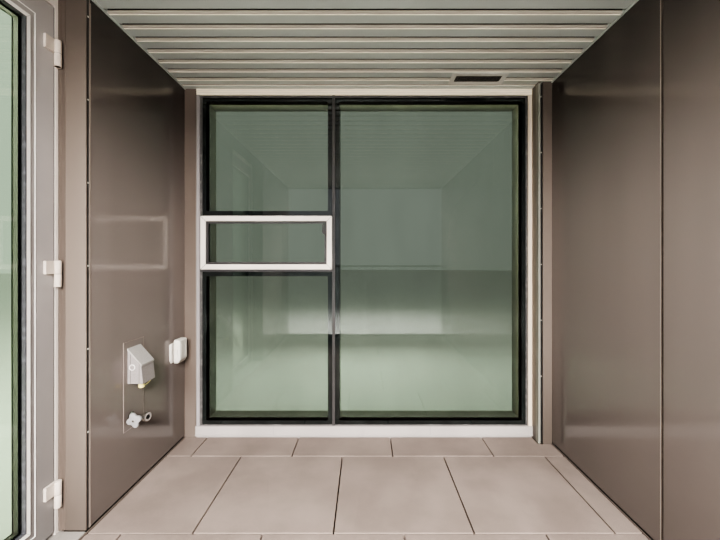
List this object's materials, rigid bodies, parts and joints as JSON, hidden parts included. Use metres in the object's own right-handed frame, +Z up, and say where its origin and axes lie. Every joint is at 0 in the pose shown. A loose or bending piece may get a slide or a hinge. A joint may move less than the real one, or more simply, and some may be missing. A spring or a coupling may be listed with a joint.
{
  "type": "recessed balcony bay",
  "caption": "Recessed balcony bay with brown clad side walls, a ribbed soffit, stone paving, a window wall with an awning light, a glazed side door that swings in, and a glass guard.",
  "frame": {"origin": "middle of the footprint, on the underside of the floor slab", "axes": "+X to the right and +Y from the open front towards the window wall, +Z up"},
  "size_m": [2.956, 3.426, 2.872],
  "materials": {
    "concrete": "fair-faced concrete, matt",
    "paver": "tan concrete pavers with a fine sandy face",
    "wall_core": "black wall membrane, matt",
    "brown_panel": "dark brown satin coated metal panel",
    "brown_trim": "lighter brown satin coated folded metal",
    "soffit": "light grey coated metal planks, satin",
    "trim": "mill aluminium edge trims",
    "window_frame": "pale beige coated aluminium, satin",
    "window_bar": "dark grey coated aluminium, satin",
    "glass": "clear glass with a green tint",
    "door_frame": "warm grey coated aluminium, satin",
    "door_leaf": "warm grey coated aluminium, satin",
    "bead": "pale coated aluminium glazing bead",
    "hinge": "off-white coated hinge",
    "handle": "brushed steel",
    "guard_metal": "dark coated aluminium",
    "galvanised": "galvanised sheet steel",
    "tap": "chromed brass with a pale wheel",
    "white_plastic": "off-white weatherproof plastic",
    "vent": "light grey coated metal grille"
  },
  "bodies": {
    "bay": {"floor_slab": "concrete", "floor_pavers": "paver", "wall_base_bars": "brown_trim", "left_wall_rear": "wall_core", "left_wall_front": "wall_core", "left_wall_head": "wall_core", "right_wall": "wall_core", "left_inner_cladding": "brown_panel", "left_outer_cladding": "brown_panel", "right_inner_cladding": "brown_panel", "right_outer_cladding": "brown_panel", "roof_slab": "concrete", "roof_cap": "brown_panel", "soffit_panels": "soffit", "soffit_carriers": "trim", "soffit_trims": "trim", "vent_grille": "vent", "left_jamb_strip": "brown_trim", "right_jamb_post": "brown_trim", "window_jambs": "window_frame", "window_head": "window_frame", "window_sill": "window_frame", "window_mullion": "window_bar", "window_transoms": "window_bar", "window_panes": "glass", "awning_sash": "window_frame", "awning_glass": "glass", "door_pilasters": "brown_trim", "door_frame_jambs": "door_frame", "door_frame_head": "door_frame", "door_threshold": "trim", "hinge_seats": "hinge", "guard_shoe": "guard_metal", "guard_glass": "glass", "guard_rail": "guard_metal", "access_plate": "brown_panel", "gas_box": "galvanised", "hose_tap": "tap", "socket_cover": "white_plastic"},
    "door": {"door_stiles": "door_leaf", "door_rails": "door_leaf", "door_beads": "bead", "door_glass": "glass", "hinge_leaves": "hinge", "door_handle": "handle"}
  },
  "joints": [
    {"name": "door_swing", "type": "hinge", "parent": "bay", "child": "door", "pos_m": [-1.325, 0.685, 1.389], "axis": [0, 0, 1], "range_deg": [0, 85]}
  ]
}
